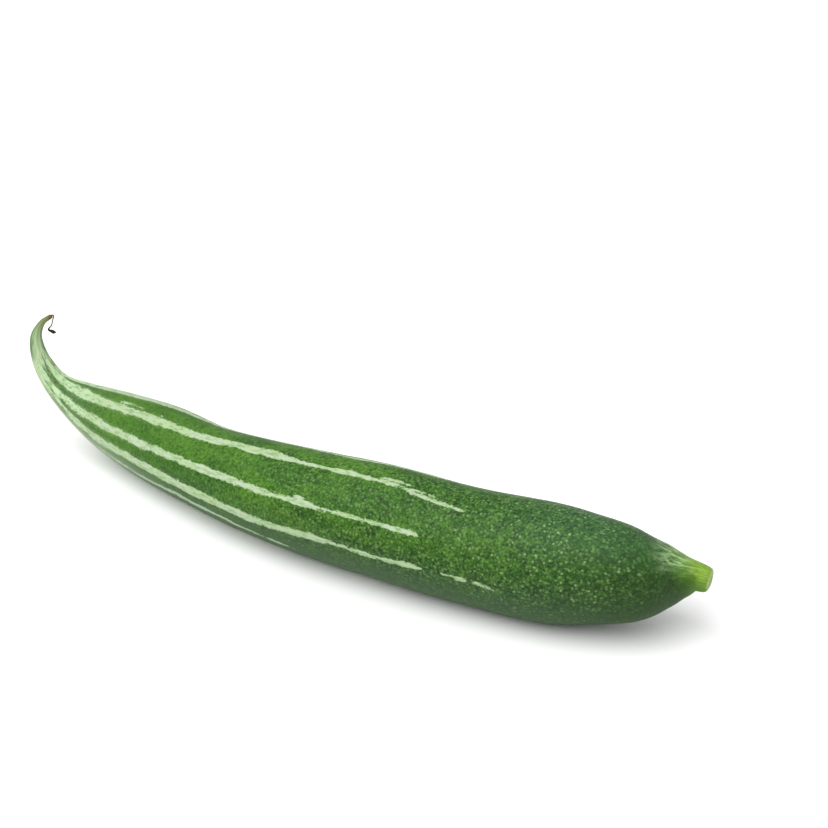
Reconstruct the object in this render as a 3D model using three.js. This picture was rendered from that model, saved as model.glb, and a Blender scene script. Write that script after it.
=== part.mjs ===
// A whole short snake gourd (Trichosanthes cucumerina), lying on its belly as picked.
//
// Millimetres, +Z up. The fruit lies along X on the plane z = 0: the thin tail at -X curls up off the
// ground, the shoulder with the rest of the stalk is at +X, and the belly of the bow faces -Y.
// Three pieces: the fruit, the stub of its stalk, and the withered flower left on the tip of the tail.

import * as THREE from "three";

// ---------------------------------------------------------------------------------------------------
// Driving dimensions
// ---------------------------------------------------------------------------------------------------

// The axis from the tip of the tail to the cut end of the stalk, in three stretches.
// Raised stations give x, y and z of the axis and the radius of the skin around it.
const TAIL = [
  [-156.0, 33.0, 53.0, 1.0],
  [-158.5, 29.0, 50.5, 1.6],
  [-158.2, 24.0, 45.0, 3.0],
  [-153.5, 21.0, 36.0, 4.5],
  [-145.0, 20.0, 27.0, 6.2],
  [-131.5, 19.5, 21.0, 10.2],
  [-112.5, 16.5, 18.0, 14.3],
];
// The stretch that lies on the ground needs no z: the axis is one radius up, less what is pressed flat.
const BODY = [
  [-86.5, 11.0, 17.5],
  [-57.5, 2.0, 18.0],
  [-29.5, -5.0, 19.6],
  [0.5, -9.3, 21.3],
  [32.5, -11.2, 22.4],
  [66.5, -12.5, 22.3],
  [100.5, -11.0, 22.8],
];
const SHOULDER = [
  [120.5, -9.0, 23.0, 20.2],
  [134.5, -6.0, 23.0, 17.2],
  [144.5, -2.0, 23.4, 12.3],
  [150.5, 0.0, 24.0, 8.4],
  [154.6, 1.4, 24.3, 5.95],
  [158.2, 1.6, 24.1, 5.1],
];
const PRESSED_FLAT = 0.7; // how far the skin is flattened where it rests
const AXIS = [...TAIL, ...BODY.map(([x, y, radius]) => [x, y, radius - PRESSED_FLAT, radius]), ...SHOULDER];

const STALK_START = AXIS.length - 3; // station where the fruit ends and the stalk begins
const PIECE_GAP = 0.3; // clear distance between neighbouring pieces

const RING_STEP = 4.2; // distance between the rings of the skin
const FRUIT_SIDES = 40; // corners of one ring of the fruit

// Shape of the skin: an uneven, slightly lobed section, and ridges that show only on the thin tail.
const LOBE_TWO = 0.007;
const LOBE_THREE = 0.006;
const LOBE_TWIST = 0.011; // radians per millimetre
const TAIL_RIDGES = 10;
const TAIL_RIDGE_HEIGHT = 0.035;
const TAIL_RIDGE_START = -92.0; // x where the ridges begin to rise
const TAIL_RIDGE_FULL = -135.0; // x where they reach their full height

// Stub of the stalk.
const STALK_SIDES = 30;
const STALK_RINGS = 7;
const STALK_RIBS = 5;
const STALK_RIB_HEIGHT = 0.045;
const STALK_EDGE = 1.9; // rounding of the worn cut edge
const STALK_EDGE_STEPS = 4;
const STALK_DISH = 0.5; // depth of the shrunken middle of the cut

// Withered flower: stations of its thread and of the dark knob at its end (x, y, z, radius),
// measured from the tip of the tail.
const FLOWER = [
  [0.6, 1.0, 0.4, 0.4],
  [0.85, 0.8, -0.6, 0.36],
  [0.45, 0.35, -1.8, 0.32],
  [0.1, 0.1, -3.2, 0.32],
  [-0.35, -0.15, -4.7, 0.33],
  [-1.3, -0.6, -5.9, 0.38],
  [-1.45, -0.75, -6.6, 0.45],
  [-0.5, -0.25, -7.3, 0.75],
  [0.5, 0.25, -7.75, 0.8],
  [1.2, 0.6, -7.85, 0.4],
];
const FLOWER_SIDES = 10;
const FLOWER_STEPS = 3; // rings from one station to the next

const SKIN_COLOUR = 0x4b7f2f;
const STALK_COLOUR = 0x9ab94a;
const FLOWER_COLOUR = 0x3a2f1d;

// ---------------------------------------------------------------------------------------------------
// Lines
// ---------------------------------------------------------------------------------------------------

const clamp01 = (value) => Math.min(1, Math.max(0, value));
const smooth = (from, to, value) => {
  const t = clamp01((value - from) / (to - from));
  return t * t * (3 - 2 * t);
};

// A row of the table extended by one station at each end, so that the line also has a slope there.
function extended(stations) {
  const last = stations.length - 1;
  const before = stations[0].map((value, k) => 2 * value - stations[1][k]);
  const after = stations[last].map((value, k) => 2 * value - stations[last - 1][k]);
  return [before, ...stations, after];
}

// The station at a fractional place along the table, on a uniform Catmull-Rom line.
function stationAt(stations, place) {
  const rows = extended(stations);
  const i = Math.min(Math.floor(place), stations.length - 2);
  const w = place - i;
  return rows[i].map((a, k) => {
    const b = rows[i + 1][k];
    const c = rows[i + 2][k];
    const d = rows[i + 3][k];
    const line = 2 * b + (c - a) * w;
    const bend = (2 * a - 5 * b + 4 * c - d) * w * w + (3 * b - a - 3 * c + d) * w * w * w;
    return 0.5 * (line + bend);
  });
}

const pointOf = (station) => new THREE.Vector3(station[0], station[1], station[2]);

function directionAt(stations, place) {
  const step = 0.02;
  const from = stationAt(stations, Math.max(0, place - step));
  const to = stationAt(stations, Math.min(stations.length - 1, place + step));
  return pointOf(to).sub(pointOf(from)).normalize();
}

// Places along the table that lie about one step apart.
function evenPlaces(stations, first, last, step) {
  const places = [];
  for (let span = Math.floor(first); span < last; span += 1) {
    const from = Math.max(span, first);
    const to = Math.min(span + 1, last);
    const length = pointOf(stationAt(stations, from)).distanceTo(pointOf(stationAt(stations, to)));
    const count = Math.max(2, Math.round(length / step));
    for (let k = 0; k < count; k += 1) {
      places.push(from + ((to - from) * k) / count);
    }
  }
  places.push(last);
  return places;
}

// ---------------------------------------------------------------------------------------------------
// Swept skins
// ---------------------------------------------------------------------------------------------------

// Rings along the line, each with its centre, the two directions of its plane and its radius. The
// rings don't twist: the upward direction is carried from the last ring back to the first.
function ringsAlong(stations, places) {
  const rings = [];
  const up = new THREE.Vector3(0, 0, 1);
  for (const place of [...places].reverse()) {
    const along = directionAt(stations, place);
    up.addScaledVector(along, -up.dot(along)).normalize();
    const side = new THREE.Vector3().crossVectors(along, up);
    const station = stationAt(stations, place);
    rings.unshift({ centre: pointOf(station), along, up: up.clone(), side, radius: station[3] });
  }
  return rings;
}

// A closed skin over the rings, shut by one middle point beyond the first ring and one beyond the
// last. shape(angle, ring) scales the radius, lowest is the height below which no skin reaches.
function closedSkin(rings, sides, firstMiddle, lastMiddle, shape, lowest) {
  const positions = [];
  for (const ring of rings) {
    for (let k = 0; k < sides; k += 1) {
      const angle = ((k + 0.5) / sides) * 2 * Math.PI;
      const radius = ring.radius * shape(angle, ring);
      const point = ring.centre.clone();
      point.addScaledVector(ring.up, radius * Math.cos(angle));
      point.addScaledVector(ring.side, radius * Math.sin(angle));
      positions.push(point.x, point.y, Math.max(point.z, lowest));
    }
  }
  const first = positions.length / 3;
  positions.push(...firstMiddle.toArray(), ...lastMiddle.toArray());

  const index = [];
  for (let k = 0; k < sides; k += 1) {
    const next = (k + 1) % sides;
    const lastRing = (rings.length - 1) * sides;
    index.push(first, next, k);
    index.push(first + 1, lastRing + k, lastRing + next);
    for (let row = 0; row < rings.length - 1; row += 1) {
      const here = row * sides;
      const there = here + sides;
      index.push(here + k, here + next, there + next);
      index.push(here + k, there + next, there + k);
    }
  }
  const geometry = new THREE.BufferGeometry();
  geometry.setAttribute("position", new THREE.Float32BufferAttribute(positions, 3));
  geometry.setIndex(index);
  geometry.computeVertexNormals();
  return geometry;
}

function namedMesh(name, geometry, color, roughness) {
  const material = new THREE.MeshStandardMaterial({ color, roughness, metalness: 0 });
  const mesh = new THREE.Mesh(geometry, material);
  mesh.name = name;
  return mesh;
}

// ---------------------------------------------------------------------------------------------------
// The three pieces
// ---------------------------------------------------------------------------------------------------

function skinShape(angle, ring) {
  const turn = ring.centre.x * LOBE_TWIST;
  const lobes = LOBE_TWO * Math.cos(2 * angle + turn) + LOBE_THREE * Math.cos(3 * angle - 1.3 * turn);
  const ridged = smooth(TAIL_RIDGE_START, TAIL_RIDGE_FULL, ring.centre.x);
  return 1 + lobes + TAIL_RIDGE_HEIGHT * ridged * Math.cos(TAIL_RIDGES * angle);
}

function fruit() {
  const rings = ringsAlong(AXIS, evenPlaces(AXIS, 0, STALK_START, RING_STEP));
  const tip = rings[0];
  const end = rings[rings.length - 1];
  const tipMiddle = tip.centre.clone().addScaledVector(tip.along, -0.6 * tip.radius);
  const geometry = closedSkin(rings, FRUIT_SIDES, tipMiddle, end.centre, skinShape, 0);
  return namedMesh("fruit", geometry, SKIN_COLOUR, 0.45);
}

function stalkShape(angle, ring) {
  return 1 + STALK_RIB_HEIGHT * ring.ribbed * Math.cos(STALK_RIBS * angle);
}

function stalkStub() {
  const cut = AXIS.length - 1;
  const stubLength = pointOf(AXIS[cut]).distanceTo(pointOf(AXIS[STALK_START]));
  const start = STALK_START + (PIECE_GAP / stubLength) * (cut - STALK_START);
  const places = [];
  for (let k = 0; k < STALK_RINGS; k += 1) {
    places.push(start + ((cut - start) * k) / (STALK_RINGS - 1));
  }
  const rings = ringsAlong(AXIS, places);
  rings.forEach((ring, k) => {
    ring.ribbed = k / (STALK_RINGS - 1);
  });
  const edge = rings[rings.length - 1];
  for (let k = 1; k <= STALK_EDGE_STEPS; k += 1) {
    const turn = (k / STALK_EDGE_STEPS) * (Math.PI / 2);
    const centre = edge.centre.clone().addScaledVector(edge.along, STALK_EDGE * Math.sin(turn));
    rings.push({ ...edge, centre, radius: edge.radius - STALK_EDGE * (1 - Math.cos(turn)) });
  }
  const face = rings[rings.length - 1];
  const dish = face.centre.clone().addScaledVector(edge.along, -STALK_DISH);
  const geometry = closedSkin(rings, STALK_SIDES, rings[0].centre, dish, stalkShape, 0);
  return namedMesh("stalk_stub", geometry, STALK_COLOUR, 0.55);
}

function witheredFlower() {
  const tip = AXIS[0];
  const stations = FLOWER.map((row) => [tip[0] + row[0], tip[1] + row[1], tip[2] + row[2], row[3]]);
  const places = [];
  for (let k = 0; k <= (stations.length - 1) * FLOWER_STEPS; k += 1) {
    places.push(k / FLOWER_STEPS);
  }
  const rings = ringsAlong(stations, places);
  const end = rings[rings.length - 1];
  const endMiddle = end.centre.clone().addScaledVector(end.along, 0.5 * end.radius);
  const round = () => 1;
  const geometry = closedSkin(rings, FLOWER_SIDES, rings[0].centre, endMiddle, round, 0);
  return namedMesh("withered_flower", geometry, FLOWER_COLOUR, 0.9);
}

const gourd = new THREE.Group();
gourd.name = "snake_gourd";
gourd.add(fruit(), stalkStub(), witheredFlower());

export default gourd;
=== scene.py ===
# The looks of a short snake gourd that lies on its belly: the striped fruit, the stub of its stalk and the
# withered flower on its tail. +Z is up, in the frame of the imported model. The fruit lies along X with its
# thin tail at -X and its shoulder at +X. Lengths are in millimetres unless a comment says otherwise.

import math

import bpy
import numpy as np
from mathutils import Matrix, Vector, noise


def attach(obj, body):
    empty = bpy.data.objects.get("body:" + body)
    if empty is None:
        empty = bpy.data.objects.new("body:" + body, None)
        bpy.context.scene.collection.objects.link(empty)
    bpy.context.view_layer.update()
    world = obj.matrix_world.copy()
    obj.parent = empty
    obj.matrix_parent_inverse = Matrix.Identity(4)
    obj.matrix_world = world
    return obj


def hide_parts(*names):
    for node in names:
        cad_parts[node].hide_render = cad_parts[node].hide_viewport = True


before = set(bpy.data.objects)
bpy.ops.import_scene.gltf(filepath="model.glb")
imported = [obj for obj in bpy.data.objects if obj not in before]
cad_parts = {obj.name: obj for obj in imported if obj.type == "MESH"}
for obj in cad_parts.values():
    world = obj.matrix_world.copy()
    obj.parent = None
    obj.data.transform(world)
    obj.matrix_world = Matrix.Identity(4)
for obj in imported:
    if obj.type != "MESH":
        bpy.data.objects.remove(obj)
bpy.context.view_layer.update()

# ---------------------------------------------------------------------------------------------------------
# Driving dimensions
# ---------------------------------------------------------------------------------------------------------

MM = 0.001  # metres

# The axis from the tip of the tail to the cut end of the stalk, as in the CAD model: x, y, z and the radius
# of the skin around it.
PRESSED_FLAT = 0.7  # how far the skin is flattened where it rests
TAIL = [
    (-156.0, 33.0, 53.0, 1.0),
    (-158.5, 29.0, 50.5, 1.6),
    (-158.2, 24.0, 45.0, 3.0),
    (-153.5, 21.0, 36.0, 4.5),
    (-145.0, 20.0, 27.0, 6.2),
    (-131.5, 19.5, 21.0, 10.2),
    (-112.5, 16.5, 18.0, 14.3),
]
BODY = [  # x, y and radius: the axis is one radius up, less what is pressed flat
    (-86.5, 11.0, 17.5),
    (-57.5, 2.0, 18.0),
    (-29.5, -5.0, 19.6),
    (0.5, -9.3, 21.3),
    (32.5, -11.2, 22.4),
    (66.5, -12.5, 22.3),
    (100.5, -11.0, 22.8),
]
SHOULDER = [
    (120.5, -9.0, 23.0, 20.2),
    (134.5, -6.0, 23.0, 17.2),
    (144.5, -2.0, 23.4, 12.3),
    (150.5, 0.0, 24.0, 8.4),
    (154.6, 1.4, 24.3, 5.95),
    (158.2, 1.6, 24.1, 5.1),
]
AXIS = np.array(TAIL + [(x, y, radius - PRESSED_FLAT, radius) for x, y, radius in BODY] + SHOULDER)
STALK_STATIONS = 3
STALK_START = len(AXIS) - STALK_STATIONS  # station where the fruit ends and the stalk begins

# Section of the fruit, as in the CAD model, and the finer unevenness that only this model has.
LOBE_TWO = 0.007
LOBE_THREE = 0.006
LOBE_TWIST = 0.011  # radians per millimetre
LOBE_THREE_TWIST = -1.3  # the three lobes turn this many times as much as the two
TAIL_RIDGES = 10
TAIL_RIDGE_HEIGHT = 0.035
TAIL_RIDGE_START = -92.0
TAIL_RIDGE_FULL = -135.0
SKIN_INSET = 0.25  # keeps the uneven skin inside the CAD model's box
INSET_GROWS = (-6, 12)  # along the axis, so that the tip of the tail is thinned least
LUMP_SIZE = 26.0
LUMP_HEIGHT = 0.16
LUMP_SEED = 3.1
DIMPLE_SIZE = 6.0
DIMPLE_HEIGHT = 0.04
DIMPLE_SEED = 7.7

DIP_LENGTH = 0.25  # stations over which fruit and stub run on under each other's skin
DIP_DEPTH = 0.25
DIP_RINGS = 5

FRUIT_SIDES = 250
FRUIT_TIP = 0.55  # reach of the rounded tip past the first ring, in radii
FRUIT_STRIPS = 2  # strips of its UV map
FINEST_STEP = 0.36  # distance between rings, to which a share of the radius is added
STEP_PER_RADIUS = 0.034

DIRECTION_STEP = 0.02  # stations ahead and behind from which the direction of a line is taken
GRADED_PLACES = 4000  # fine places along a line, from which those of the rings are found
MEASURED_PLACES = 6000  # fine places along a line, from which its length is summed
MAP_MARGIN = 0.004  # share of the UV map left free beside a strip's ends and between strips
MAP_ROUNDING = 1e-9  # so that a ring on the border of two strips counts as the second one's

# Pale stripes of the skin: distance along the axis from the tip of the tail, angle from the top of the
# section in degrees, positive towards -Y, and half the width of the stripe.
STRIPES = [
    [(24, 8, 1.3), (36, 11, 1.8), (45, 20, 2.25), (58, 24, 2.5), (66, 25, 2.15), (75, 25, 1.9),
     (100, 23, 1.95), (125, 18, 1.85), (150, 12.5, 1.8), (172, 12.5, 2.1), (183, 15, 1.0), (197, 16, 0.7),
     (207, 15.5, 1.4), (215, 16.5, 0.95), (225, 16, 0.8), (235, 17, 0.6)],
    [(234, 20, 0.7), (244, 21.5, 0.8), (257, 24, 0.6)],
    [(77, 13, 0.3), (84, 12, 0.5), (91, 13, 0.3)],
    [(103.5, 12.5, 0.25), (105, 13, 0.25)],
    [(220, 11, 0.6), (232, 11, 0.6)],
    [(232, 15.5, 0.4), (245, 16.5, 0.4)],
    [(24, 62, 0.7), (30, 62, 0.75), (45, 62, 1.35), (60, 62, 1.6), (75, 62.5, 1.55), (100, 62, 1.6),
     (125, 58, 1.4), (140, 56.5, 1.65), (155, 57.5, 1.5), (165, 59, 1.4), (175, 60, 1.1), (187, 60, 1.0),
     (200, 60.5, 0.85), (225, 60.5, 0.7), (243, 60, 0.7)],
    [(189, 55, 0.4), (193, 54.5, 0.4)],
    [(217, 53.5, 0.15), (220, 54.5, 0.2)],
    [(24, 88, 1.2), (32, 88, 1.2), (40, 87, 1.0), (55, 90, 1.5), (75, 91, 1.6), (100, 88.5, 1.95),
     (125, 90, 1.9), (150, 92.5, 1.85), (165, 95, 1.9), (175, 96, 1.6), (185, 95, 1.4), (193, 93.5, 1.8),
     (200, 93.5, 1.45), (207, 94, 0.8), (225, 95, 0.85), (235, 94, 1.0), (242, 93, 1.3), (247, 92.8, 0.4)],
    [(254, 92.5, 0.6), (263, 92.5, 0.6)],
    [(254.5, 45.5, 0.35), (257.5, 46, 0.35)],
    [(267, 93.5, 0.7), (274, 96.5, 0.7)],
    [(26, 116, 1.0), (40, 111, 0.6), (60, 112, 0.8), (80, 112, 0.9), (100, 113, 0.9), (130, 111, 1.15),
     (150, 113, 1.0), (165, 118, 0.7), (188, 122, 0.5)],
    [(28, -24, 0.8), (45, -26, 1.3), (58, -19, 2.8), (75, -18.5, 3.0), (95, -18, 2.6), (105, -20, 2.0),
     (120, -24, 1.6), (135, -25, 1.3), (150, -26, 1.2), (170, -24, 1.2), (185, -20, 1.1), (200, -15, 1.1),
     (212, -18, 1.1), (225, -23, 0.9), (250, -24, 0.7)],
    [(28, -56, 0.7), (50, -58, 1.5), (68, -60, 1.9), (80, -60.5, 1.5), (96, -58.5, 2.1), (120, -57, 1.5),
     (132, -59, 1.9), (155, -62, 1.6), (165, -61, 1.1), (178, -60, 1.5), (190, -58.5, 0.7), (205, -58, 1.3),
     (218, -60, 0.9), (228, -61, 0.5), (248, -60, 0.7)],
    [(112, -51.5, 0.3), (122, -51, 0.4)],
    [(236, -55.5, 0.4), (247, -55, 0.4)],
    [(256, -59, 0.5), (268, -61, 0.6)],
    [(28, -92, 0.7), (50, -95, 1.6), (72, -97, 1.3), (85, -98, 1.8), (104, -96, 1.5), (118, -95, 2.0),
     (138, -96.5, 1.3), (150, -97, 1.8), (172, -101, 1.2), (182, -100, 0.6), (190, -100, 1.1),
     (203, -98.5, 0.6), (214, -98, 1.0), (239, -99, 0.5)],
    [(252, -98, 0.5), (261, -98.5, 0.4)],
    [(28, -128, 0.7), (55, -131, 1.5), (76, -133, 1.9), (90, -134, 1.4), (112, -135.5, 1.9), (130, -136, 1.3),
     (148, -134.5, 1.8), (160, -134, 1.2), (178, -136, 1.3), (190, -137, 0.7), (207, -136.5, 1.0),
     (222, -136, 0.6)],
    [(238, -137, 0.4), (256, -138, 0.5)],
    [(30, 146, 0.7), (60, 148, 1.4), (95, 151, 1.7), (130, 152, 1.8), (170, 155, 1.3), (200, 153, 0.8),
     (231, 154, 0.6)],
    [(30, 180, 0.7), (60, 178, 1.5), (100, 176, 1.6), (140, 178, 1.4), (180, 181, 0.9), (215, 180, 0.6)],
]
STRIPE_END = 2.5  # a stripe runs on past its first and last places by this length
STRIPE_END_WIDTH = -1.5  # and is narrowed to this, so that it comes to a point
OUTSIDE = -9.0  # in place of the distance to a stripe, far from them all

# ---------------------------------------------------------------------------------------------------------
# Lines and swept skins
# ---------------------------------------------------------------------------------------------------------


def smooth(low, high, value):
    t = np.clip((value - low) / (high - low), 0, 1)
    return t * t * (3 - 2 * t)


def unit(vectors):
    return vectors / np.linalg.norm(vectors, axis=-1, keepdims=True)


def stations_at(table, places):
    """Rows of the table at fractional places, on a uniform Catmull-Rom line."""
    rows = np.vstack([2 * table[0] - table[1], table, 2 * table[-1] - table[-2]])
    first = np.minimum(places.astype(int), len(table) - 2)
    w = (places - first)[:, None]
    a, b, c, d = (rows[first + k] for k in range(4))
    bend = (2 * a - 5 * b + 4 * c - d) * w**2 + (3 * b - a - 3 * c + d) * w**3
    return 0.5 * (2 * b + (c - a) * w + bend)


class Line:
    """Rings along a table of stations. The rings don't twist: the upward direction is carried from the last
    ring back to the first."""

    def __init__(self, table, places):
        ahead = stations_at(table, np.minimum(places + DIRECTION_STEP, len(table) - 1))
        behind = stations_at(table, np.maximum(places - DIRECTION_STEP, 0))
        stations = stations_at(table, places)
        self.centre = stations[:, :3]
        self.radius = stations[:, 3]
        self.forward = unit((ahead - behind)[:, :3])
        self.up = np.zeros_like(self.centre)
        up = np.array([0.0, 0.0, 1.0])
        for k in reversed(range(len(places))):
            up = unit(up - self.forward[k] * (up @ self.forward[k]))
            self.up[k] = up
        self.side = np.cross(self.forward, self.up)

    def skin(self, radii, angles):
        """Points of the rings: radii has a row for each ring and a column for each angle."""
        upward = self.up[:, None] * np.cos(angles)[..., None]
        sideways = self.side[:, None] * np.sin(angles)[..., None]
        return self.centre[:, None] + radii[..., None] * (upward + sideways)


def distances(table, places):
    """Distance along the line from its first station to each place."""
    fine = np.linspace(0, len(table) - 1, MEASURED_PLACES)
    points = stations_at(table, fine)[:, :3]
    run = np.concatenate([[0], np.cumsum(np.linalg.norm(np.diff(points, axis=0), axis=1))])
    return np.interp(places, fine, run)


def graded_places(table, first, last):
    """Places of the rings, closer together where the line is thinner."""
    fine = np.linspace(first, last, GRADED_PLACES)
    radius = stations_at(table, fine)[:, 3]
    gap = np.diff(distances(table, fine))
    rings = np.concatenate([[0], np.cumsum(gap / (FINEST_STEP + STEP_PER_RADIUS * radius[1:]))])
    return np.interp(np.linspace(0, rings[-1], int(rings[-1]) + 1), rings, fine)


def circle(sides):
    """Angles of a ring's corners from the top, starting underneath. The last corner is the first again."""
    return np.linspace(-math.pi, math.pi, sides + 1)[:-1]


def new_object(name, data):
    piece = bpy.data.objects.new(name, data)
    bpy.context.scene.collection.objects.link(piece)
    return piece


def closed_mesh(name, points, first_tip, last_tip, attributes):
    """A closed mesh over rings of points in millimetres, shut by one point at each end. Each attribute has
    one value, or three, for each ring point and then for the two end points."""
    rings, sides = points.shape[:2]
    side = np.arange(sides)
    following = (side + 1) % sides
    row = np.arange(rings - 1)[:, None] * sides
    corners = [row + side, row + following, row + sides + following, row + sides + side]
    quads = np.stack(corners, axis=-1).reshape(-1, 4)
    first = rings * sides
    last_row = (rings - 1) * sides
    first_fan = np.stack([np.full(sides, first), following, side], axis=-1)
    last_fan = np.stack([np.full(sides, first + 1), last_row + side, last_row + following], axis=-1)
    vertices = np.vstack([points.reshape(-1, 3), first_tip, last_tip]) * MM
    mesh = bpy.data.meshes.new(name)
    mesh.from_pydata(vertices.tolist(), [], quads.tolist() + first_fan.tolist() + last_fan.tolist())
    for key, values in attributes.items():
        kind, field = ("FLOAT_VECTOR", "vector") if values.ndim == 2 else ("FLOAT", "value")
        layer = mesh.attributes.new(key, kind, "POINT")
        layer.data.foreach_set(field, values.astype(np.float32).ravel())
    mesh.shade_smooth()
    mesh.validate()
    return new_object(name, mesh)


def strip_edges(strip, side, sides, strips):
    """Heights in the UV map at which a side of the section starts and ends in its strip."""
    free = MAP_MARGIN * strips
    return [(strip + free / 2 + (1 - free) * edge / sides) / strips for edge in (side, side + 1)]


def map_faces(*corners):
    """Corners of faces in the UV map, face after face. Each corner is given by its places and heights."""
    return np.stack([np.stack(np.broadcast_arrays(*corner), -1) for corner in corners], 1).reshape(-1, 2)


def map_in_strips(piece, rings, sides, share, strips):
    """UV map of a swept skin: its length is cut into strips that lie above each other, with the seam
    underneath. share is how far along the map each ring lies, from 0 to 1."""
    strip = np.minimum((share * strips + MAP_ROUNDING).astype(int), strips - 1)
    along = MAP_MARGIN + (1 - 2 * MAP_MARGIN) * (share * strips - strip)
    ring = np.repeat(np.arange(rings - 1), sides)
    side = np.tile(np.arange(sides), rings - 1)
    start = along[ring]
    end = np.where(strip[ring + 1] == strip[ring], along[ring + 1], 1 - MAP_MARGIN)
    low, high = strip_edges(strip[ring], side, sides, strips)
    quads = map_faces((start, low), (start, high), (end, high), (end, low))
    low, high = strip_edges(strip[0], np.arange(sides), sides, strips)
    first_fan = map_faces((0.0, (low + high) / 2), (along[0], high), (along[0], low))
    low, high = strip_edges(strip[-1], np.arange(sides), sides, strips)
    last_fan = map_faces((1.0, (low + high) / 2), (along[-1], low), (along[-1], high))
    layer = piece.data.uv_layers.new(name="OFBake")
    layer.uv.foreach_set("vector", np.vstack([quads, first_fan, last_fan]).astype(np.float32).ravel())


def uneven(points, size, seed):
    """Smooth noise from -1 to 1 at each point, with bumps about as large as size."""
    flat = (points.reshape(-1, 3) / size + seed).tolist()
    return np.array([noise.noise(Vector(p)) for p in flat]).reshape(points.shape[:-1])


# ---------------------------------------------------------------------------------------------------------
# The fruit
# ---------------------------------------------------------------------------------------------------------


def skin_shape(line, angles):
    """Share of the radius at each point of the skin, as in the CAD model."""
    x = line.centre[:, :1]
    turn = x * LOBE_TWIST
    two = LOBE_TWO * np.cos(2 * angles + turn)
    three = LOBE_THREE * np.cos(3 * angles + LOBE_THREE_TWIST * turn)
    ridged = smooth(TAIL_RIDGE_START, TAIL_RIDGE_FULL, x)
    return 1 + (two + three) + TAIL_RIDGE_HEIGHT * ridged * np.cos(TAIL_RIDGES * angles)


def skin_radii(line, along, angles):
    """Radius of the uneven skin at each angle of each ring."""
    inset = SKIN_INSET * smooth(*INSET_GROWS, along)[:, None]
    radii = line.radius[:, None] * skin_shape(line, angles) - inset
    even = line.skin(radii, angles)
    lumps = LUMP_HEIGHT * uneven(even, LUMP_SIZE, LUMP_SEED)
    return radii + lumps + DIMPLE_HEIGHT * uneven(even, DIMPLE_SIZE, DIMPLE_SEED)


def straightened(along, radius, angles):
    """Where each point of the skin would lie if the axis were straight, in millimetres: the distance from
    the tip of the tail, then the height and the side of the point in its ring."""
    rows = [np.broadcast_to(along[:, None], (len(along), len(angles)))]
    rows += [radius[:, None] * np.cos(angles), radius[:, None] * np.sin(angles)]
    ends = [[along[0], 0, 0], [along[-1], 0, 0]]
    return np.vstack([np.stack(rows, axis=-1).reshape(-1, 3), ends])


def inside_stripes(along, angles, radius):
    """How far inside the nearest stripe each point of the skin lies, in millimetres, negative outside."""
    nearest = np.full((len(along), len(angles)), OUTSIDE)
    for stripe in STRIPES:
        place, angle, half_width = np.array(stripe, float).T
        middle = np.radians(np.interp(along, place, angle))[:, None]
        reach = [place[0] - STRIPE_END, *place, place[-1] + STRIPE_END]
        width = [STRIPE_END_WIDTH, *half_width, STRIPE_END_WIDTH]
        half = np.interp(along, reach, width, left=OUTSIDE, right=OUTSIDE)
        apart = np.abs((angles - middle + math.pi) % (2 * math.pi) - math.pi) * radius[:, None]
        nearest = np.maximum(nearest, half[:, None] - apart)
    return nearest


def fruit():
    """The fruit. Past the start of the stalk its skin dips under that of the stub, so that no line shows. Its
    UV map gives the thicker parts more of its length."""
    dip = np.linspace(0, 1, DIP_RINGS + 1)[1:]
    places = np.concatenate([graded_places(AXIS, 0, STALK_START), STALK_START + DIP_LENGTH * dip])
    line = Line(AXIS, places)
    angles = circle(FRUIT_SIDES)
    along = distances(AXIS, places)
    radii = skin_radii(line, along, angles)
    radii[-len(dip) :] -= DIP_DEPTH * dip[:, None] ** 2
    points = line.skin(radii, angles)
    points[..., 2] = np.maximum(points[..., 2], 0)
    first_tip = line.centre[0] - FRUIT_TIP * line.radius[0] * line.forward[0]
    stripes = np.concatenate([inside_stripes(along, angles, line.radius).ravel(), [OUTSIDE, OUTSIDE]])
    attributes = {"straight": straightened(along, line.radius, angles), "stripe": stripes}
    piece = closed_mesh("snake_gourd_fruit", points, first_tip, line.centre[-1], attributes)
    mapped = np.concatenate([[0], np.cumsum(np.diff(along) * np.sqrt(line.radius[1:]))])
    map_in_strips(piece, len(along), FRUIT_SIDES, mapped / mapped[-1], FRUIT_STRIPS)
    return piece


# ---------------------------------------------------------------------------------------------------------
# Stub of the stalk
# ---------------------------------------------------------------------------------------------------------

STUB_SIDES = 144
STUB_RINGS = 56
STUB_RIBS = 5
STUB_RIB_HEIGHT = 0.045
STUB_LUMPS = [(0.14, 2.6, 1.3), (0.05, 0.8, 5.3)]  # height, size and seed
STUB_EDGE = 1.9  # rounding of the worn cut edge
STUB_EDGE_RINGS = 14
STUB_DISH = 0.45  # depth of the shrunken middle of the cut
CUT_RINGS = 18
CUT_LUMPS = [(0.12, 0.9, 6.1), (0.05, 0.35, 2.2)]
CUT_COLOUR_FROM = 0.55  # share of the edge's rounding where the colour of the cut begins


def summed(lumps, points):
    """Sum of layers of unevenness at each point."""
    return sum(height * uneven(points, size, seed) for height, size, seed in lumps)


def stub_radii(line, along, angles, dip):
    """Radius of the stub's skin, more ribbed and uneven towards the cut. Its first rings dip under the skin
    of the fruit."""
    grown = smooth(along[len(dip)], along[-1], along)[:, None]
    radii = skin_radii(line, along, angles) * (1 + STUB_RIB_HEIGHT * grown * np.cos(STUB_RIBS * angles))
    radii = radii + grown * summed(STUB_LUMPS, line.skin(radii, angles))
    radii[: len(dip)] -= DIP_DEPTH * dip[:, None] ** 2
    return radii


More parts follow.
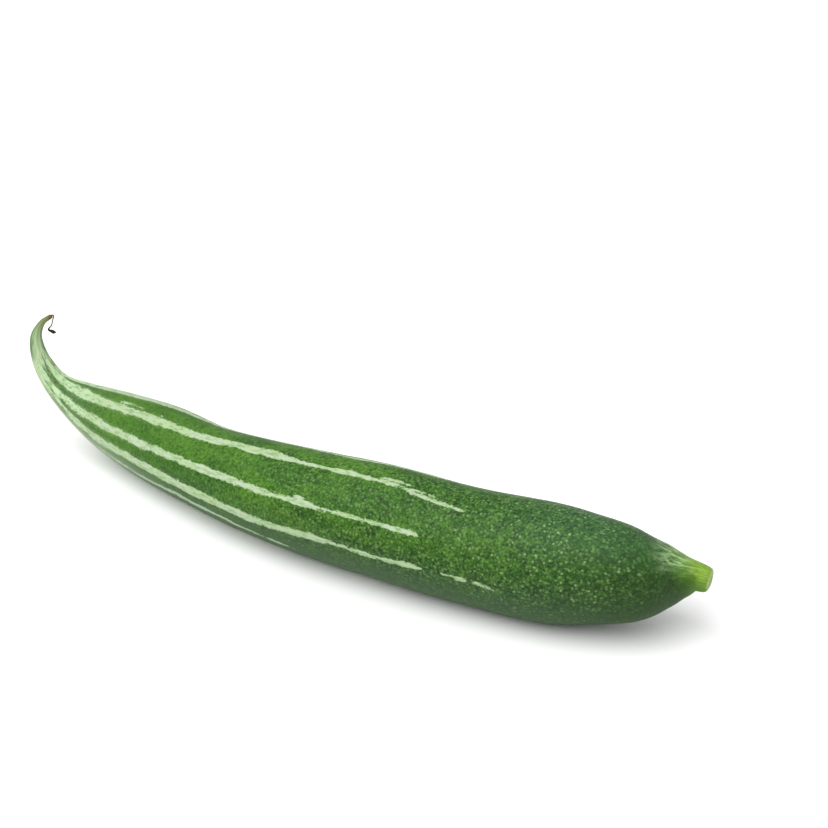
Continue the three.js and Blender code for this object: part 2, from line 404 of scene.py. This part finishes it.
def cut_end(centre, forward, radius, rim):
    """Rings from the rim over the worn edge and in towards the middle of the cut, with each ring's share of
    the rim's radius and its distance past the rim. The dish and its lumps fade out at the edge."""
    rings, shares, beyond = [], [], []
    for turn in np.linspace(0, math.pi / 2, STUB_EDGE_RINGS + 1)[1:]:
        shares.append(1 - STUB_EDGE * (1 - math.cos(turn)) / radius)
        beyond.append(STUB_EDGE * math.sin(turn))
        rings.append(centre + (rim - centre) * shares[-1] + forward * beyond[-1])
    face = 1 - STUB_EDGE / radius
    for inward in np.linspace(1, 0, CUT_RINGS + 2)[1:-1]:
        shares.append(face * inward)
        beyond.append(STUB_EDGE)
        ring = centre + (rim - centre) * shares[-1] + forward * STUB_EDGE
        dish = STUB_DISH * (1 - inward**2) + summed(CUT_LUMPS, ring)
        rings.append(ring - forward * dish[:, None] * (1 - inward**6))
    return rings, np.array(shares), np.array(beyond)


def stalk_stub():
    """The stub. It starts under the skin of the fruit, which it meets at the start of the stalk."""
    dip = np.linspace(1, 0, DIP_RINGS + 1)[:-1]
    shown = np.linspace(STALK_START, len(AXIS) - 1, STUB_RINGS)
    places = np.concatenate([STALK_START - DIP_LENGTH * dip, shown])
    line = Line(AXIS, places)
    angles = circle(STUB_SIDES)
    along = distances(AXIS, places)
    side = line.skin(stub_radii(line, along, angles, dip), angles)
    centre, forward, radius = line.centre[-1], line.forward[-1], line.radius[-1]
    rings, shares, beyond = cut_end(centre, forward, radius, side[-1])
    points = np.concatenate([side, rings])
    stretch = np.concatenate([along, along[-1] + beyond])
    spread = np.concatenate([line.radius, radius * shares])
    cut = np.concatenate([np.zeros(len(along)), smooth(CUT_COLOUR_FROM, 1, beyond / STUB_EDGE)])
    attributes = {
        "straight": straightened(stretch, spread, angles),
        "stripe": np.full(points.shape[0] * STUB_SIDES + 2, OUTSIDE),
        "cut": np.concatenate([np.repeat(cut, STUB_SIDES), [0, 1]]),
    }
    middle = centre + forward * (STUB_EDGE - STUB_DISH)
    return closed_mesh("snake_gourd_stalk_stub", points, line.centre[0], middle, attributes)


# ---------------------------------------------------------------------------------------------------------
# Withered flower
# ---------------------------------------------------------------------------------------------------------

FLOWER = [  # x, y, z from the tip of the tail, and radius
    (0.0, 0.1, 0.2, 0.5),
    (0.5, 0.7, 0.15, 0.38),
    (0.7, 0.7, -0.6, 0.34),
    (0.45, 0.35, -1.8, 0.3),
    (0.1, 0.1, -3.2, 0.29),
    (-0.35, -0.15, -4.7, 0.3),
    (-1.3, -0.6, -5.9, 0.36),
    (-1.45, -0.75, -6.6, 0.43),
    (-0.5, -0.25, -7.3, 0.75),
    (0.5, 0.25, -7.75, 0.8),
    (1.2, 0.6, -7.85, 0.35),
]
FLOWER_RINGS = 170
FLOWER_SIDES = 48
FLOWER_TIP = 0.4  # reach of the end past the last ring, in radii
CREASES = 3
CREASE_TWIST = 1.4  # radians per millimetre
CREASE_HEIGHT = 0.14
CREASE_MIDDLE = 0.88  # share of the table's radius halfway between hollow and ridge
KNOB_GROWS = (7.0, 9.0)  # along the flower
KNOB_LUMP_SHARE = 0.3
KNOB_LUMP_SIZE = 0.7
KNOB_LUMP_SEED = 4.4
FIBRE_HEIGHT = 0.035
FIBRE_SIZE = 0.3
FIBRE_SEED = 8.1


def withered_flower():
    """The creased thread that hangs from the tip of the tail, with the lumpy knob at its end."""
    tip = np.array([*AXIS[0, :3], 0.0])
    table = np.array(FLOWER) + tip
    places = np.linspace(0, len(table) - 1, FLOWER_RINGS)
    line = Line(table, places)
    angles = circle(FLOWER_SIDES)
    along = distances(table, places)
    creases = CREASE_HEIGHT * np.cos(CREASES * angles + CREASE_TWIST * along[:, None])
    radii = line.radius[:, None] * (CREASE_MIDDLE + creases)
    even = line.skin(radii, angles)
    knob = KNOB_LUMP_SHARE * smooth(*KNOB_GROWS, along)[:, None]
    fibres = FIBRE_HEIGHT * uneven(even, FIBRE_SIZE, FIBRE_SEED)
    radii = radii * (1 + knob * uneven(even, KNOB_LUMP_SIZE, KNOB_LUMP_SEED)) + fibres
    points = line.skin(radii, angles)
    last_tip = line.centre[-1] + FLOWER_TIP * line.radius[-1] * line.forward[-1]
    attributes = {"straight": straightened(along, line.radius, angles)}
    return closed_mesh("snake_gourd_withered_flower", points, line.centre[0], last_tip, attributes)


# ---------------------------------------------------------------------------------------------------------
# Materials
# ---------------------------------------------------------------------------------------------------------


SRGB_KNEE = 0.04045  # below it the sRGB curve is straight


def srgb(code):
    """Linear colour of a six-digit sRGB code."""
    channels = [int(code[k : k + 2], 16) / 255 for k in (0, 2, 4)]
    return (*(((c + 0.055) / 1.055) ** 2.4 if c > SRGB_KNEE else c / 12.92 for c in channels), 1.0)


class Shader:
    """Builds the nodes of a material or a world. The functions below call it sh. Its methods return the
    outputs of what they add, but node() and attribute() return the node and the two finishes the material."""

    def __init__(self, owner):
        self.owner = owner
        owner.use_nodes = True
        self.tree = owner.node_tree
        self.tree.nodes.clear()

    def node(self, kind, inputs, **settings):
        node = self.tree.nodes.new(kind)
        for key, value in settings.items():
            setattr(node, key, value)
        for key, value in inputs.items():
            if isinstance(value, bpy.types.NodeSocket):
                self.tree.links.new(value, node.inputs[key])
            else:
                node.inputs[key].default_value = value
        return node

    def attribute(self, name):
        return self.node("ShaderNodeAttribute", {}, attribute_name=name)

    def math(self, operation, *values):
        return self.node("ShaderNodeMath", dict(enumerate(values)), operation=operation).outputs[0]

    def between(self, low, high, value, to_low=0.0, to_high=1.0):
        """value carried smoothly from the range low..high to 0..1 or to the range given."""
        inputs = {"Value": value, "From Min": low, "From Max": high, "To Min": to_low, "To Max": to_high}
        return self.node("ShaderNodeMapRange", inputs, interpolation_type="SMOOTHSTEP").outputs[0]

    def mix(self, factor, first, second):
        return self.node("ShaderNodeMix", {0: factor, 6: first, 7: second}, data_type="RGBA").outputs[2]

    def stretched(self, vector, scale):
        inputs = {0: vector, 1: scale}
        return self.node("ShaderNodeVectorMath", inputs, operation="MULTIPLY").outputs[0]

    def scaled(self, colour, factor):
        inputs = {"Vector": colour, "Scale": factor}
        return self.node("ShaderNodeVectorMath", inputs, operation="SCALE").outputs[0]

    def noise(self, vector, size, detail=2.0, roughness=0.5):
        inputs = {"Vector": vector, "Scale": 1 / size, "Detail": detail, "Roughness": roughness}
        return self.node("ShaderNodeTexNoise", inputs).outputs["Fac"]

    def cells(self, vector, size):
        """Distance to the nearest cell's middle in cell sizes, and a random number for the cell."""
        node = self.node("ShaderNodeTexVoronoi", {"Vector": vector, "Scale": 1 / size, "Randomness": 1.0})
        channel = self.node("ShaderNodeSeparateColor", {0: node.outputs["Color"]})
        return node.outputs["Distance"], channel.outputs[0]

    def finish(self, colour, roughness, specular, **sockets):
        inputs = {"Base Color": colour, "Roughness": roughness, "Specular IOR Level": specular, **sockets}
        principled = self.node("ShaderNodeBsdfPrincipled", inputs)
        self.node("ShaderNodeOutputMaterial", {"Surface": principled.outputs[0]})
        return self.owner

    def finish_bumped(self, colour, roughness, bump, bump_height, specular):
        bumped = self.node("ShaderNodeBump", {"Height": bump, "Distance": bump_height, "Strength": 1.0})
        return self.finish(colour, roughness, specular, Normal=bumped.outputs[0], IOR=PLANT_IOR)


PLANT_IOR = 1.35
SKIN_SPECULAR = 0.3
SKIN_BUMP = 0.00012  # metres
FLOWER_SPECULAR = 0.5
FLOWER_BUMP = 0.0002  # metres

GREEN_FRESH = srgb("406e16")
GREEN_DEEP = srgb("2c5912")
GREEN_YOUNG = srgb("487520")
GREEN_TAIL = srgb("48683a")
GREEN_SHOULDER = srgb("2a521e")
# painted sheen on top of the shoulder
SHEEN_BLUE_GREEN = srgb("355d38")
# painted shade on the lower side
SHADED_FLANK_GREEN = srgb("345030")
GRAIN = srgb("678e3c")
STRIPE = srgb("a2b98e")
STRIPE_WHITE = srgb("a9bb9c")
STRIPE_BRIGHT = srgb("b2cea2")
# painted shade on the stripes' lower side
SHADED_STRIPE_GREY = srgb("9aad93")
STRIPE_GREEN = srgb("80a067")
TAIL_SAGE = srgb("abc096")
# painted shade on the end of the tail
SHADED_TAIL = srgb("566f4c")
TAIL_STREAK = srgb("88a072")
TAIL_GREEN = srgb("6c8858")
# painted reflection of the floor under the tail
FLOOR_REFLECTION_GREY = srgb("a8b69e")
TIP_OLIVE = srgb("7a7f54")
TIP_BROWN = srgb("64583f")
NECK_DARK = srgb("234016")
NECK_STREAK = srgb("a4c48c")
LIME_DEEP = srgb("527a22")
LIME = srgb("6a8c28")
LIME_STREAK = srgb("84a646")
CUT_GREEN = srgb("7c993c")
CUT_PITH = srgb("a2b472")
THREAD_DARK = srgb("6b5c3c")
THREAD_PALE = srgb("96845a")
KNOB_DARK = srgb("14110b")
KNOB_PALE = srgb("332b1c")

UNDERSIDE = (-0.5, 0.2)  # cosines of the angle from the top between which grain and specks weaken below

# Size of a cell, radius of its speck in cell sizes, where the specks begin and are strongest along the axis,
# the share of cells that have one, its strength and its colour.
SPECK_LAYERS = [
    (1.5, 0.5, 60, 225, 0.9, 0.42, srgb("7c9e60")),
    (2.2, 0.3, 225, 275, 0.75, 0.75, srgb("82a466")),
    (3.4, 0.22, 255, 300, 0.75, 0.85, srgb("90ac74")),
]


class Place:
    """Where a point of the skin is: its place on the straightened fruit, its distance along the axis, the
    cosine and sine of its angle from the top of the section, and how far inside a stripe it lies."""

    def __init__(self, sh):
        self.straight = sh.attribute("straight").outputs["Vector"]
        self.stripe = sh.attribute("stripe").outputs["Fac"]
        self.along, top, side = sh.node("ShaderNodeSeparateXYZ", {0: self.straight}).outputs
        squares = sh.math("ADD", sh.math("MULTIPLY", top, top), sh.math("MULTIPLY", side, side))
        radius = sh.math("SQRT", squares)
        self.facing = sh.math("DIVIDE", top, radius)
        self.sideways = sh.math("DIVIDE", side, radius)


def ground(sh, at):
    """Green between the stripes: greyish near the tail, fresh and deep in patches, darker on the shoulder and
    at the neck, with a painted blue-green sheen on top of the shoulder, painted shade on the lower side and a
    painted reflection of the floor under the tail."""
    patches = sh.noise(sh.stretched(at.straight, (0.45, 1, 1)), 13, 3)
    colour = sh.mix(sh.between(0.38, 0.62, patches), GREEN_FRESH, GREEN_DEEP)
    colour = sh.mix(sh.between(150, 60, at.along, 0, 0.75), colour, GREEN_YOUNG)
    colour = sh.mix(sh.between(85, 42, at.along, 0, 0.9), colour, GREEN_TAIL)
    colour = sh.mix(sh.between(215, 310, at.along, 0, 0.85), colour, GREEN_SHOULDER)
    # painted sheen: a blue-green reflection painted on top of the shoulder, where the skin faces up
    painted_sheen = sh.math("MULTIPLY", sh.between(0.55, 1.0, at.facing, 0, 0.6), sh.between(258, 310, at.along))
    colour = sh.mix(painted_sheen, colour, SHEEN_BLUE_GREEN)
    # painted shade: the lower side is darkened from the middle of the fruit on, and turned a greyer, shaded
    # green below
    shade = sh.math("MULTIPLY", sh.between(0.7, 0.2, at.facing, 0, 0.2), sh.between(140, 210, at.along))
    colour = sh.scaled(colour, sh.math("SUBTRACT", 1.0, shade))
    colour = sh.mix(sh.between(0.35, -0.45, at.facing, 0, 0.85), colour, SHADED_FLANK_GREEN)
    dark = sh.between(288, 326, at.along, 0, 0.85)
    dark = sh.math("MULTIPLY", dark, sh.between(1.0, 0.3, at.facing, 0.35, 1))
    colour = sh.mix(dark, colour, NECK_DARK)
    # painted reflection: the underside of the tail is paled to grey as if lit by the floor
    pale = sh.math("MULTIPLY", sh.between(0.02, -0.3, at.facing), sh.between(135, 30, at.along, 0, 0.75))
    return sh.mix(pale, colour, FLOOR_REFLECTION_GREY)


def mottle(sh, at, colour):
    """Grain of light and dark green that grows stronger from the tail to past the middle and is weaker at
    the stalk and below. Returns the grain's tone too."""
    grain = sh.noise(at.straight, 1.1, 2, 0.75)
    broad = sh.noise(at.straight, 3.2, 2, 0.5)
    tone = sh.math("ADD", sh.math("MULTIPLY", grain, 0.75), sh.math("MULTIPLY", broad, 0.25))
    strength = sh.between(60, 250, at.along, 0.6, 1)
    strength = sh.math("MULTIPLY", strength, sh.between(345, 270, at.along, 0.4, 1))
    strength = sh.math("MULTIPLY", strength, sh.between(*UNDERSIDE, at.facing, 0.45, 1))
    light = sh.math("MULTIPLY", sh.between(0.5, 0.66, tone, 0, 0.5), strength)
    dark = sh.math("MULTIPLY", sh.between(0.52, 0.38, tone, 0, 0.65), strength)
    colour = sh.mix(light, colour, GRAIN)
    return sh.scaled(colour, sh.math("SUBTRACT", 1.0, dark)), tone


def specks(sh, at, colour):
    """Pale specks: soft and crowded in the middle, sharper and further apart on the shoulder, faint below."""
    fade = sh.math("MULTIPLY", sh.between(340, 300, at.along), sh.between(*UNDERSIDE, at.facing, 0.4, 1))
    for size, radius, first, full, share, strength, pale in SPECK_LAYERS:
        distance, chance = sh.cells(at.straight, size)
        seen = sh.between(1 - share, 1.5 - share, chance)
        dot = sh.between(radius, radius * 0.25, distance)
        begun = sh.math("MULTIPLY", sh.between(first, full, at.along, 0, strength), fade)
        speck = sh.math("MULTIPLY", sh.math("MULTIPLY", dot, seen), begun)
        colour = sh.mix(speck, colour, pale)
    return colour


def stripes(sh, at, colour):
    """Pale stripes with ragged edges and green streaks inside, brighter near the tail and greyer below as
    painted shade. Returns too how much of a stripe each point is."""
    wavy = sh.noise(sh.stretched(at.straight, (0.4, 1, 1)), 3.4, 2)
    ragged = sh.noise(sh.stretched(at.straight, (0.55, 1, 1)), 0.85, 3, 0.65)
    edge = sh.math("ADD", at.stripe, sh.between(0, 1, wavy, -0.8, 0.8))
    edge = sh.math("ADD", edge, sh.between(0.1, 0.9, ragged, -0.7, 0.7))
    inside = sh.between(-0.25, 0.35, edge)
    tint = sh.noise(sh.stretched(at.straight, (0.4, 1, 1)), 9, 2)
    pale = sh.mix(sh.between(0.4, 0.62, tint), STRIPE, STRIPE_WHITE)
    pale = sh.mix(sh.between(75, 35, at.along, 0, 0.7), pale, STRIPE_BRIGHT)
    # painted shade: stripes turn greyer on the lower side
    pale = sh.mix(sh.between(0.1, -0.45, at.facing, 0, 0.7), pale, SHADED_STRIPE_GREY)
    streaks = sh.noise(sh.stretched(at.straight, (0.3, 1, 1)), 1.2, 4, 0.65)
    pale = sh.mix(sh.between(0.45, 0.66, streaks), pale, STRIPE_GREEN)
    halo = sh.math("MULTIPLY", sh.between(-1.5, -0.2, edge), sh.between(140, 60, at.along, 0, 0.25))
    return sh.mix(inside, sh.mix(halo, colour, STRIPE_GREEN), pale), inside


def tail(sh, at, colour):
    """The pale tail with its fine streaks: near the end darker as painted shade except on the inner side of
    its curl towards the front, greener towards the dry tip."""
    streaks = sh.noise(sh.stretched(at.straight, (0.07, 1.6, 1.6)), 0.9, 3)
    inner = sh.math("ADD", sh.math("MULTIPLY", at.facing, 0.87), sh.math("MULTIPLY", at.sideways, 0.5))
    inner = sh.math("ADD", inner, sh.between(0.2, 0.8, streaks, -0.2, 0.2))
    # painted shade: the end of the tail is darkened away from the inner side of its curl
    shaded_side = sh.math("MULTIPLY", sh.between(1.0, 0.5, inner), sh.between(25, 16, at.along))
    pale = sh.mix(sh.between(0.45, 0.7, streaks, 0, 0.5), TAIL_SAGE, TAIL_STREAK)
    pale = sh.mix(shaded_side, pale, SHADED_TAIL)
    pale = sh.mix(sh.between(22, 8, at.along, 0, 0.6), pale, TAIL_GREEN)
    reach = sh.math("ADD", at.along, sh.between(0, 1, streaks, -9, 9))
    reach = sh.math("ADD", reach, sh.between(0.3, -0.3, at.facing, 0, -7))
    colour = sh.mix(sh.between(30, 20, reach), colour, pale)
    colour = sh.mix(sh.between(12, 3, at.along), colour, TIP_OLIVE)
    return sh.mix(sh.between(3.0, 0.6, at.along), colour, TIP_BROWN)


def neck(sh, at, colour):
    """Pale streaks on the upper side of the neck, and the lime green stalk with painted shade on its
    underside.
    """
    lengthwise = sh.node("ShaderNodeCombineXYZ", {0: at.along, 1: at.facing, 2: at.sideways}).outputs[0]
    streaks = sh.noise(sh.stretched(lengthwise, (0.3, 10, 10)), 1.2, 4, 0.65)
    reach = sh.math("ADD", at.along, sh.between(0.25, 0.75, streaks, -1.5, 1.5))
    reach = sh.math("ADD", reach, sh.between(0.1, 0.9, at.facing, -3.0, 3.0))
    colour = sh.mix(sh.between(332, 343, reach, 0, 0.85), colour, LIME_DEEP)
    upper = sh.math("MULTIPLY", sh.between(0.4, 0.9, at.facing), sh.between(323, 337, at.along))
    pale = sh.math("MULTIPLY", sh.between(0.4, 0.66, streaks, 0.08, 0.9), upper)
    colour = sh.mix(pale, colour, NECK_STREAK)
    lime = sh.mix(sh.between(0.4, 0.62, streaks), LIME, LIME_STREAK)
    # painted shade: the stalk's lime green darkens on its underside
    lime = sh.mix(sh.between(0.3, -0.7, at.facing), lime, LIME_DEEP)
    return sh.mix(sh.between(339.5, 347, reach), colour, lime)


def skin(sh):
    """Colour, roughness and height of the skin, from the tip of the tail to the end of the stalk."""
    at = Place(sh)
    colour, tone = mottle(sh, at, ground(sh, at))
    colour = specks(sh, at, colour)
    colour, inside = stripes(sh, at, colour)
    colour = neck(sh, at, tail(sh, at, colour))
    roughness = sh.between(0.3, 0.7, tone, 0.42, 0.56)
    height = sh.math("ADD", sh.math("MULTIPLY", tone, 0.6), sh.math("MULTIPLY", inside, 0.2))
    return colour, roughness, height


def skin_material():
    sh = Shader(bpy.data.materials.new("gourd_skin"))
    return sh.finish_bumped(*skin(sh), SKIN_BUMP, SKIN_SPECULAR)


def stalk_material():
    """The skin's own colours run on over the stub, down to the cut face."""
    sh = Shader(bpy.data.materials.new("gourd_stalk"))
    side, roughness, height = skin(sh)
    straight = sh.attribute("straight").outputs["Vector"]
    cut = sh.attribute("cut").outputs["Fac"]
    pith = sh.noise(straight, 0.6, 3)
    face = sh.mix(sh.between(0.4, 0.62, pith), CUT_GREEN, CUT_PITH)
    return sh.finish_bumped(sh.mix(cut, side, face), roughness, height, SKIN_BUMP, SKIN_SPECULAR)


def flower_material():
    """Brown thread and nearly black knob, both with fibres along the flower."""
    sh = Shader(bpy.data.materials.new("withered_flower"))
    straight = sh.attribute("straight").outputs["Vector"]
    along = sh.node("ShaderNodeSeparateXYZ", {0: straight}).outputs[0]
    fibres = sh.noise(sh.stretched(straight, (0.3, 1, 1)), 0.3, 3)
    thread = sh.mix(fibres, THREAD_DARK, THREAD_PALE)
    knob = sh.mix(fibres, KNOB_DARK, KNOB_PALE)
    colour = sh.mix(sh.between(5.8, 8.2, along), thread, knob)
    roughness = sh.between(0.3, 0.7, fibres, 0.7, 0.95)
    return sh.finish_bumped(colour, roughness, fibres, FLOWER_BUMP, FLOWER_SPECULAR)


# ---------------------------------------------------------------------------------------------------------
# Floor, light and camera
# ---------------------------------------------------------------------------------------------------------

# Lengths here are in metres.
CAMERA_AZIMUTH = math.radians(27)
CAMERA_ELEVATION = math.radians(27)
CAMERA_DISTANCE = 0.888
CAMERA_TARGET = Vector((-0.0189, 0.1136, 0.0))
LENS = 85  # focal length and sensor width in millimetres
SENSOR_WIDTH = 36
FLOOR_HALF = 12.0
FLOOR_HEIGHT = -0.0001  # just under the fruit
FLOOR_GREY = (0.92, 0.92, 0.92, 1)
HORIZON_LIGHT = 0.35
ZENITH_LIGHT = 1.1
SEEN_LIGHT = 1.0
KEY_DIRECTION = Vector((-0.35, -0.6, 1.0))  # from the fruit towards the light
KEY_ANGLE = math.radians(70)
KEY_STRENGTH = 2.2


def turned_towards(direction):
    """Rotation of a camera or light that looks along a direction."""
    return direction.to_track_quat("-Z", "Y").to_euler()


def camera():
    data = bpy.data.cameras.new("camera")
    data.lens = LENS
    data.sensor_width = SENSOR_WIDTH
    flat = math.cos(CAMERA_ELEVATION)
    across = (math.sin(CAMERA_AZIMUTH) * flat, -math.cos(CAMERA_AZIMUTH) * flat)
    back = Vector((*across, math.sin(CAMERA_ELEVATION)))
    piece = new_object("camera", data)
    piece.location = CAMERA_TARGET + back * CAMERA_DISTANCE
    piece.rotation_euler = turned_towards(-back)
    bpy.context.scene.camera = piece


def floor():
    mesh = bpy.data.meshes.new("floor")
    square = ((-1, -1), (1, -1), (1, 1), (-1, 1))
    corners = [(x * FLOOR_HALF, y * FLOOR_HALF, FLOOR_HEIGHT) for x, y in square]
    mesh.from_pydata(corners, [], [(0, 1, 2, 3)])
    sh = Shader(bpy.data.materials.new("floor"))
    mesh.materials.append(sh.finish(FLOOR_GREY, 1.0, 0.0))
    piece = new_object("floor", mesh)


def room_light():
    """A bright room that is lighter above, and that the camera sees as plain white."""
    world = bpy.data.worlds.new("studio")
    sh = Shader(world)
    direction = sh.node("ShaderNodeTexCoord", {}).outputs["Generated"]
    height = sh.node("ShaderNodeSeparateXYZ", {0: direction}).outputs[2]
    inputs = {"Value": height, "To Min": HORIZON_LIGHT, "To Max": ZENITH_LIGHT}
    light = sh.node("ShaderNodeMapRange", inputs).outputs[0]
    seen = sh.node("ShaderNodeLightPath", {}).outputs["Is Camera Ray"]
    strength = sh.node("ShaderNodeMix", {0: seen, 2: light, 3: SEEN_LIGHT}, data_type="FLOAT").outputs[0]
    background = sh.node("ShaderNodeBackground", {"Color": (1, 1, 1, 1), "Strength": strength})
    sh.node("ShaderNodeOutputWorld", {"Surface": background.outputs[0]})
    bpy.context.scene.world = world


def key_light():
    """One broad soft light from above, a little to the front left."""
    data = bpy.data.lights.new("key", "SUN")
    data.angle = KEY_ANGLE
    data.energy = KEY_STRENGTH
    piece = new_object("key", data)
    piece.rotation_euler = turned_towards(-KEY_DIRECTION)


# ---------------------------------------------------------------------------------------------------------
# Putting it together
# ---------------------------------------------------------------------------------------------------------


def stand_in(piece, material, node):
    """Gives the piece its material and puts it in the place of a CAD node."""
    piece.data.materials.append(material)
    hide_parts(node)
    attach(piece, "root")


scene = bpy.context.scene
scene.view_settings.view_transform = "Standard"
camera()
floor()
room_light()
key_light()
stand_in(fruit(), skin_material(), "fruit")
stand_in(stalk_stub(), stalk_material(), "stalk_stub")
stand_in(withered_flower(), flower_material(), "withered_flower")
